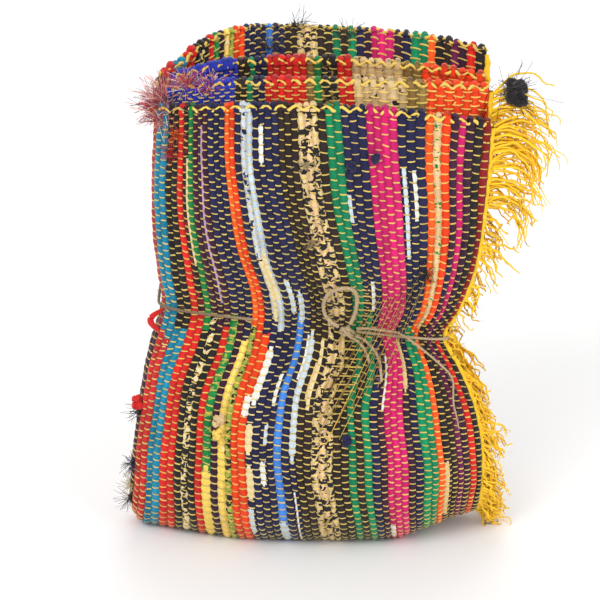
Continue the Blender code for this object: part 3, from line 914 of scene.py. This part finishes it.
def smooth_line(points, spacing):
    """A smooth curve through the points, with evenly spaced points on it."""
    padded = np.concatenate((points[:1] * 2 - points[1:2], points, points[-1:] * 2 - points[-2:-1]))
    pieces = []
    t = np.linspace(0.0, 1.0, 24, endpoint=False)[:, None]
    for i in range(1, len(padded) - 2):
        a, b, c, d = padded[i - 1], padded[i], padded[i + 1], padded[i + 2]
        curve = 2 * b + (c - a) * t + (2 * a - 5 * b + 4 * c - d) * t ** 2 + (3 * b - a - 3 * c + d) * t ** 3
        pieces.append(curve / 2)
    line = np.concatenate(pieces + [points[-1:]])
    lengths = np.concatenate(((0.0,), np.cumsum(np.linalg.norm(np.diff(line, axis=0), axis=1))))
    marks = np.linspace(0.0, lengths[-1], max(8, int(lengths[-1] / spacing)))
    even = np.stack([np.interp(marks, lengths, line[:, axis]) for axis in range(3)], axis=-1)
    return even, float(lengths[-1])


def hairs(pile, path, radius, count, length, seed, colour):
    """Loose fibres that stand off a yarn."""
    generator = np.random.default_rng(seed)
    start = path[generator.integers(0, len(path), count)]
    way = unit(generator.normal(0.0, 1.0, (count, 3)))
    bend = unit(generator.normal(0.0, 1.0, (count, 3)))
    reach = generator.uniform(0.4, 1.0, (count, 1, 1)) * length
    t = np.linspace(0.0, 1.0, 5)[None, :, None]
    line = start[:, None] + way[:, None] * (radius * 0.6 + reach * t) + bend[:, None] * reach * t ** 2 * 0.8
    radii = np.full((count, 5), 0.00007) * np.linspace(1.0, 0.5, 5)
    tones = np.array(colour) * generator.uniform(0.8, 1.2, (count, 1))
    pile.tubes(line, radii, tones, sides=3)


def make_twine(material):
    knot = knot_place()
    fuzz = Pile()
    reach = KNOT_SIZE[0] / 2 + GAP
    ring = band_line(BAND_CLEAR - 0.0007)
    start = int(np.argmin(np.linalg.norm(ring - knot, axis=1)))
    ring = np.concatenate((ring[start:], ring[1:start + 1]))
    ring = ring[np.linalg.norm(ring - knot, axis=1) > reach]
    routes = (
        ("twine_band", ring[::6], TWINE_RADIUS, "taut", "object"),
        ("twine_bow", front_route(BOW_ROUTE), BOW_RADIUS, "loose", "object"),
        ("twine_tail_short", front_route(SHORT_TAIL_ROUTE), TWINE_RADIUS, "loose", "bare"),
        ("twine_tail_mid", front_route(MID_TAIL_ROUTE), TWINE_RADIUS, "hanging", "bare"),
        ("twine_tail_long", front_route(LONG_TAIL_ROUTE), TWINE_RADIUS, "hanging", "bare"),
    )
    for seed, (name, points, radius, lay, far_end) in enumerate(routes):
        line, length = smooth_line(points, TWINE_STEP)
        generator = np.random.default_rng(40 + seed)
        steps = np.arange(len(line))
        wander = 0.06 * np.sin(steps / 9.0 + seed) + 0.05 * np.sin(steps / 23.0 + 2.0 * seed)
        radii = radius * (1.0 + wander + generator.normal(0.0, 0.015, len(line)))
        if name == "twine_tail_long":
            radii = radii * np.linspace(1.0, 0.55, len(line))
        radii[0] = radius * 0.3
        radii[-1] = radius * 0.25
        twist = steps * TWINE_STEP / TWIST_PITCH * 2.0 * math.pi
        tone = np.full((1, 3), 1.0) * np.array(COLOURS["jute"])
        pile = Pile()
        if name == "twine_band":
            # The band's left part blends to dark jute: painted shadow on the twine at the left of the waist.
            shade = smoothstep((line[:, 0] - knot[0] + 0.11) / 0.10)[:-1, None]
            face = np.array(COLOURS["jute_dark_and_band_shadow"]) * (1.0 - shade) + np.array(COLOURS["jute"]) * shade
            colours = np.repeat(face, 12, axis=0)
        else:
            colours = np.repeat(tone, (len(line) - 1) * 12, axis=0)
        colours = colours * generator.uniform(0.88, 1.08, (len(colours), 1))
        pile.tubes(line[None], radii[None], tone, sides=12, twist=twist[None])
        pile.colours[-1] = colours
        pile.prints[-1] = np.concatenate((colours, np.zeros((len(colours), 1))), axis=1)
        piece = settle(pile.build(name + "_yarn", material), name)
        hairs(fuzz, line, radius, int(length * 1500), 0.0034, 60 + seed, COLOURS["jute"])
    lumps = Pile()
    turns = (
        ((-0.0042, 0.0012, 0.0004), (0.0, -0.0034, 0.0032), (0.0042, 0.0006, -0.0008)),
        ((-0.0038, 0.0010, 0.0026), (0.0004, -0.0036, 0.0), (0.0036, 0.0008, -0.0030)),
        ((-0.0026, 0.0010, -0.0028), (-0.0010, -0.0040, 0.0002), (0.0008, 0.0010, 0.0036)),
        ((0.0020, 0.0010, -0.0034), (0.0012, -0.0038, -0.0004), (-0.0012, 0.0008, 0.0030)),
    )
    for turn in turns:
        line, _ = smooth_line(np.array(turn) + knot, 0.0004)
        radii = np.full(len(line), 0.00135)
        radii[0] = 0.0004
        radii[-1] = 0.0004
        twist = np.arange(len(line)) * 0.0004 / TWIST_PITCH * 2.0 * math.pi
        tone = np.array((COLOURS["jute"],))
        lumps.tubes(line[None], radii[None], tone, sides=12, twist=twist[None])
    settle(lumps.build("twine_knot_turns", material), "twine_knot")
    settle(fuzz.build("twine_hairs", material), None)


# ---------------------------------------------------------------- the rug
CORE_HALF = 0.0011
CORE_ROWS = 72


def make_core(material):
    """The whole cloth as one closed sheet, which the woven faces cover."""
    shares, _ = even_shares(0.5, -1.0, 1.0, 0.66 / CORE_ROWS)
    point, normal, _, _ = cloth_frame(EDGES[None, :], shares[:, None], 1)
    outer = point + normal * CORE_HALF
    inner = point - normal * CORE_HALF
    ground, _, _ = colour_rows(BELOW)
    # The core shows only in the gaps between the woven faces, so it takes 0.55 of the strips' colours: painted
    # shade in those gaps.
    colours = np.broadcast_to(ground[None] * 0.55, (len(shares) - 1, STRIPS, 3)).reshape(-1, 3)
    rows, columns = outer.shape[:2]
    loop = np.concatenate((outer, inner[:, ::-1]), axis=1)
    pile = Pile()
    around = np.concatenate((colours.reshape(rows - 1, STRIPS, 3), colours.reshape(rows - 1, STRIPS, 3)[:, ::-1]), axis=1)
    full = np.zeros((rows - 1, 2 * columns, 3))
    full[:, :STRIPS] = around[:, :STRIPS]
    full[:, STRIPS] = around[:, STRIPS - 1]
    full[:, STRIPS + 1:2 * STRIPS + 1] = around[:, STRIPS:]
    full[:, 2 * STRIPS + 1:] = around[:, :1]
    pile.grids(loop[None], full.reshape(-1, 3), ring=True)
    index = np.arange(rows * 2 * columns).reshape(rows, 2 * columns)
    for row, flip in ((0, -1), (rows - 1, 1)):
        low = index[row, :columns]
        high = index[row, :columns - 1:-1]
        quads = np.stack((low[:-1], high[:-1], high[1:], low[1:]), axis=-1)[:, ::flip]
        pile.quads.append(quads)
        # The end caps take the same 0.55 darkening: painted shade.
        pile.colours.append(ground * 0.55)
        pile.prints.append(np.concatenate((ground, np.zeros((STRIPS, 1))), axis=1))
    return pile.build("rug_cloth", material)


def strip_near(q):
    return int(np.clip(np.searchsorted(EDGES, q, side="right") - 1, 0, STRIPS))


def make_faces(cloth_material, yarn_material):
    fold_end = strip_near(2.02)
    right_low = strip_near(2.90)
    right_high = strip_near(4.12)
    jobs = (
        ("front", 0.00125, ((0, fold_end, -1.0, 0.0, 1),)),
        ("back", 0.00150, ((0, fold_end, 0.0, 1.0, 1),)),
        ("tops_outer", 0.00160, (
            (0, fold_end, -1.0, -0.93, -1),
            (0, fold_end, 0.80, 1.0, -1),
            (strip_near(5.9), STRIPS, -1.0, -0.84, -1),
            (strip_near(5.9), STRIPS, -1.0, -0.92, 1),
            (strip_near(5.9), STRIPS, 0.84, 1.0, 1),
            (strip_near(5.9), STRIPS, 0.90, 1.0, -1),
        )),
        ("tops_inner", 0.00220, (
            (fold_end, strip_near(5.9), -1.0, -0.93, 1),
            (fold_end, strip_near(5.9), -1.0, -0.93, -1),
            (fold_end, strip_near(5.9), 0.93, 1.0, 1),
            (fold_end, strip_near(5.9), 0.93, 1.0, -1),
            (right_low, right_high, -0.93, 0.93, -1),
        )),
    )
    faces = []
    for name, spacing, parts in jobs:
        pile = Pile()
        stitches = Pile()
        for first, last, low, high, side in parts:
            weave(pile, stitches, first, last, low, high, side, spacing)
        for title, heap, material in (("weave_", pile, cloth_material), ("stitches_", stitches, yarn_material)):
            faces.append(settle(heap.build(title + name, material), None))
    return faces


# ---------------------------------------------------------------- selvedges, fringe and rag ends
EDGE_SPACING = 0.0014
GOLD_RADIUS = 0.00095


def make_selvedges(material):
    """Weft loops that turn over the woven edges, and the golden warp cord that binds them."""
    loops = Pile()
    cords = Pile()
    generator = np.random.default_rng(21)
    turn = np.radians(np.linspace(-100.0, 100.0, 8))
    middles = 0.5 * (EDGES[1:] + EDGES[:-1])
    for end in (-1.0, 1.0):
        point, normal, across, along = cloth_frame(middles, np.full(middles.shape, end), 1)
        out = along * end
        reach = generator.uniform(0.0024, 0.0042, (STRIPS, 1, 1))
        path = point[:, None] + out[:, None] * (reach * np.cos(turn)[None, :, None] - 0.0012)
        path = path + normal[:, None] * (0.0022 * np.sin(turn))[None, :, None]
        radii = generator.uniform(0.0017, 0.0025, (STRIPS, 1)) * np.ones(8)
        ground, _, _ = colour_rows(ABOVE if end < 0 else BELOW)
        loops.tubes(path, radii, np.clip(ground * TINTS, 0.0, 1.0), sides=7)
        places = np.linspace(0.0, LAST, 3000)
        line = cloth(places, end)
        lengths = np.concatenate(((0.0,), np.cumsum(np.linalg.norm(np.diff(line, axis=0), axis=1))))
        marks = np.linspace(0.0, lengths[-1], int(lengths[-1] / EDGE_SPACING))
        q = np.interp(marks, lengths, places)
        point, normal, _, along = cloth_frame(q, np.full(q.shape, end), 1)
        for side, phase in ((1, 0.0), (-1, 1.6)):
            wave = np.sin(marks / STRIP_WIDTH * math.pi + phase)[:, None]
            path = point + along * end * (0.0004 + 0.0013 * wave) + normal * side * (0.0026 - 0.0005 * wave)
            radii = GOLD_RADIUS * (1.0 + 0.22 * np.sin(marks / 0.0013 + phase) + 0.12 * np.sin(marks / 0.0047))
            # The cord on side -1 of the sheet is the same yellow yarn, darkened to 0.86 against 0.98: painted
            # shade.
            tone = np.array((COLOURS["yellow"],)) * (0.98 if side > 0 else 0.86)
            cords.tubes(path[None], radii[None], tone, sides=6)
    return loops.build("weft_loops", material[0]), cords.build("selvedge_cords", material[1])


# Fringe bunches: path share from and to, strands, length, first heading and turn in degrees
BUNCH_COLUMNS = ("low", "high", "strands", "length", "heading", "turn")
BUNCHES_OUTER = (
    (-0.99, -0.90, 34, 0.050, 26.0, 120.0),
    (-0.90, -0.80, 26, 0.046, 10.0, 96.0),
    (-0.80, -0.70, 16, 0.030, -20.0, 60.0),
    (-0.70, -0.50, 16, 0.013, -40.0, 40.0),
    (-0.50, -0.36, 44, 0.024, -42.0, 40.0),
    (-0.36, -0.20, 60, 0.027, -34.0, 44.0),
    (-0.20, -0.03, 50, 0.026, -24.0, 40.0),
    (0.05, 0.40, 60, 0.024, -34.0, 44.0),
    (0.40, 0.80, 56, 0.026, -30.0, 56.0),
    (0.80, 0.94, 30, 0.020, -30.0, 60.0),
)
BUNCHES_INNER = (
    (-0.99, -0.91, 44, 0.050, 36.0, 112.0),
    (-0.91, -0.80, 26, 0.044, 12.0, 98.0),
    (-0.44, -0.20, 34, 0.026, -30.0, 42.0),
    (0.20, 0.60, 34, 0.024, -30.0, 50.0),
    (0.86, 0.96, 26, 0.020, -20.0, 60.0),
)
STRAND_RADIUS = 0.00062
STRAND_RINGS = 18


def strands(pile, q, way, bunches, seed):
    """Wavy warp ends that leave the edge at section place q and droop."""
    generator = np.random.default_rng(seed)
    t = np.linspace(0.0, 1.0, STRAND_RINGS)
    for low, high, count, length, heading, turn in bunches:
        share = generator.uniform(low, high, count)
        root, normal, out, _ = cloth_frame(np.full(count, q), share, 1)
        root = root + normal * generator.normal(0.0, 0.0007, (count, 1))
        out = out * way
        flat = unit(out * (1.0, 1.0, 0.0) + generator.normal(0.0, 0.16, (count, 3)) * (1.0, 1.0, 0.0))
        reach = length * generator.uniform(0.55, 1.12, (count, 1))
        first = np.radians(heading + generator.normal(0.0, 13.0, (count, 1)))
        fall = np.radians(turn * generator.uniform(0.75, 1.15, (count, 1)))
        angle = first - fall * t[None, :] ** 1.1
        step = reach / (STRAND_RINGS - 1)
        ahead = np.cumsum(np.cos(angle) * step, axis=1)
        rise = np.cumsum(np.sin(angle) * step, axis=1)
        path = root[:, None] + flat[:, None] * ahead[..., None]
        path = path + np.array((0.0, 0.0, 1.0)) * rise[..., None]
        for size, waves in ((0.0019, 1.3), (0.0010, 3.4)):
            phase = generator.uniform(0.0, 2.0 * math.pi, (count, 1, 3))
            path = path + size * t[None, :, None] * np.sin(waves * 2.0 * math.pi * t[None, :, None] + phase)
        radii = STRAND_RADIUS * generator.uniform(0.75, 1.35, (count, 1)) * (1.0 - 0.45 * t ** 3)
        tones = np.array(COLOURS["fringe"]) * generator.uniform(0.95, 1.25, (count, 1))
        pile.tubes(path, radii, tones, sides=5)
        hairs(pile, path.reshape(-1, 3), 0.0005, count * 2, 0.006, seed + count, COLOURS["fringe"])


def end_cord(pile, q, way):
    """The bumpy warp cord along a short end of the rug."""
    shares, runs = even_shares(q, -0.995, 0.995, EDGE_SPACING)
    point, _, out, _ = cloth_frame(np.full(shares.shape, q), shares, 1)
    path = point + out * way * (0.0011 + 0.0004 * np.sin(runs / 0.0016))[:, None]
    radii = 0.0019 * (1.0 + 0.16 * np.sin(runs / 0.0009) + 0.12 * np.sin(runs / 0.0041))
    pile.tubes(path[None], radii[None], np.array((COLOURS["fringe"],)), sides=8)


def make_fringe(material):
    for name, q, way, bunches, seed in (
        ("fringe_outer", 0.0, -1.0, BUNCHES_OUTER, 31),
        ("fringe_inner", LAST, 1.0, BUNCHES_INNER, 32),
    ):
        pile = Pile()
        strands(pile, q, way, bunches, seed)
        end_cord(pile, q, way)
        settle(pile.build(name + "_strands", material), name)


# Rag ends on the front: strip, level, kind, colour, size
RAG_COLUMNS = ("strip", "level", "kind", "colour", "size")
RAGS = (
    (0, 0.137, "leaf", "red", 0.013),
    (0, 0.083, "knot", "red", 0.0042),
    (0, 0.078, "frayed", "black", 0.006),
    (13, 0.086, "knot", "beige", 0.0040),
    (13, 0.078, "knot", "yellow", 0.0034),
    (31, 0.083, "knot", "navy", 0.0036),
    (36, 0.268, "knot", "navy", 0.0034),
    (33, 0.262, "knot", "navy", 0.0036),
    (42, 0.196, "frayed", "black", 0.005),
    (0, 0.040, "frayed", "navy", 0.006),
    (0, 0.022, "frayed", "cream", 0.006),
    (1, 0.012, "frayed", "black", 0.006),
    (4, 0.260, "frayed", "red", 0.006),
    (5, 0.276, "frayed", "orange", 0.006),
    (27, 0.262, "frayed", "cream", 0.004),
    (26, 0.212, "frayed", "beige", 0.004),
)


def share_of(level):
    """Path share of a level on the front's straight part."""
    rise = (level - BEND_HEIGHT) / (SHOULDER - BEND_HEIGHT)
    if rise < 0.0:
        angle = math.asin(min(1.0, (1.0 - level / BEND_HEIGHT)) ** (BEND_POWER / 2.0))
        return -BEND_SHARE * (1.0 - angle / (math.pi / 2.0))
    if level > SHOULDER:
        return -SHOULDER_SHARE - (1.0 - SHOULDER_SHARE) * (level - SHOULDER) / 0.045
    return -(BEND_SHARE + (SHOULDER_SHARE - BEND_SHARE) * rise)


def tangle(pile, spot, out, size, radius, colour, seed):
    """A lumpy knot: one short rag wound round itself."""
    generator = np.random.default_rng(seed)
    t = np.linspace(0.0, 1.0, 40)[:, None]
    phase = generator.uniform(0.0, 2.0 * math.pi, 3)
    path = np.sin(2.0 * math.pi * t * np.array((2.0, 3.0, 2.5)) + phase) * size * np.array((0.55, 0.45, 0.70))
    path = path + spot + out * size * 0.7
    radii = radius * (1.0 + 0.2 * np.sin(23.0 * t[:, 0]))
    radii[0] = radius * 0.3
    radii[-1] = radius * 0.3
    pile.tubes(path[None], radii[None], np.array((colour,)), sides=8)


def frayed(pile, spot, out, size, count, colours, seed):
    """Loose threads that spring from a torn end."""
    generator = np.random.default_rng(seed)
    t = np.linspace(0.0, 1.0, 6)[None, :, None]
    start = spot + generator.normal(0.0, size * 0.22, (count, 3))
    way = unit(out + generator.normal(0.0, 0.55, (count, 3)))
    bend = generator.normal(0.0, 0.60, (count, 1, 3)) * size
    reach = size * generator.uniform(0.25, 1.0, (count, 1, 1))
    path = start[:, None] + way[:, None] * reach * t + bend * t ** 2
    radii = generator.uniform(0.00009, 0.00020, (count, 1)) * np.ones(6)
    tones = np.array(colours)[generator.integers(0, len(colours), count)]
    pile.tubes(path, radii, tones * generator.uniform(0.8, 1.1, (count, 1)), sides=3)


def make_rag_ends(material):
    pile = Pile()
    for seed, (strip, level, kind, colour, size) in enumerate(RAGS):
        q = EDGES[STRIPS_A - strip] if strip else 1.35
        spot, out, _, _ = cloth_frame(q, share_of(level), 1)
        tone = np.array(COLOURS[colour])
        if kind == "knot":
            tangle(pile, spot + out * 0.002, out, size, size * 0.40, tone, 70 + seed)
        elif kind == "frayed":
            frayed(pile, spot + out * 0.002, out, size, 70, (tone, tone * 0.6), 70 + seed)
        else:
            t = np.linspace(0.0, 1.0, 30)[:, None]
            loop = out * np.sin(math.pi * t) * size * 0.75
            loop = loop + np.array((0.0, 0.0, 1.0)) * (t - 0.5) * size * 1.3
            radii = 0.0009 + 0.0012 * np.sin(math.pi * t[:, 0])
            pile.tubes((spot + loop)[None], radii[None], tone[None], sides=8)
    shreds = tuple(np.array(srgb(*c)) for c in (
        (232, 120, 130), (240, 170, 130), (200, 40, 40), (236, 224, 216), (214, 60, 90), (60, 50, 80),
    ))
    up = np.array((-0.35, -0.1, 1.0))
    for seed, (q, share, size, count) in enumerate((
        (1.5, -0.99, 0.009, 300), (1.2, -0.97, 0.008, 220), (5.5, -0.99, 0.011, 420), (5.2, -1.0, 0.010, 260),
        (6.06, -1.0, 0.008, 260), (6.16, -0.99, 0.007, 220), (1.4, 0.95, 0.010, 260),
    )):
        spot = cloth(q, share)
        frayed(pile, spot, up, size, count, shreds, 90 + seed)
    dark = (np.array(COLOURS["navy"]), np.array(COLOURS["jute_dark_and_band_shadow"]) * 0.5)
    for seed, (q, share) in enumerate(((0.52, 0.999), (0.36, 0.985), (0.62, 0.96))):
        frayed(pile, cloth(q, share), np.array((0.0, -0.2, 1.0)), 0.0075, 120, dark, 110 + seed)
    spot = cloth(LAST, -0.97) + np.array((0.012, 0.0, 0.010))
    tangle(pile, spot, np.array((1.0, 0.0, 0.0)), 0.0085, 0.0026, np.array(COLOURS["black"]), 120)
    frayed(pile, spot, np.array((1.0, 0.0, 0.3)), 0.012, 120, (np.array(COLOURS["black"]),), 121)
    return pile.build("rag_ends", material)


def main():
    bpy.context.scene.view_settings.view_transform = "Standard"
    make_camera()
    jute = node_material("jute_twine_look", 0.95, 0.1, 0.5, 1400.0, 0.30)
    make_twine(jute)
    rag = node_material("rag_cloth_look", 0.88, 0.15, 0.45, 700.0, 0.22)
    yarn = node_material("warp_yarn_look", 0.92, 0.15, 0.5, 1600.0, 0.22)
    core = make_core(rag)
    faces = make_faces(rag, yarn)
    for piece in make_selvedges((rag, yarn)) + (make_rag_ends(rag),):
        faces.append(settle(piece, None))
    make_fringe(yarn)
    settle(core, "rug")
    make_lights()
    make_floor()


main()
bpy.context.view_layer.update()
for thing in bpy.data.objects:
    if thing.type == "MESH":
        print("TRIS", thing.name, sum(len(p.vertices) - 2 for p in thing.data.polygons))
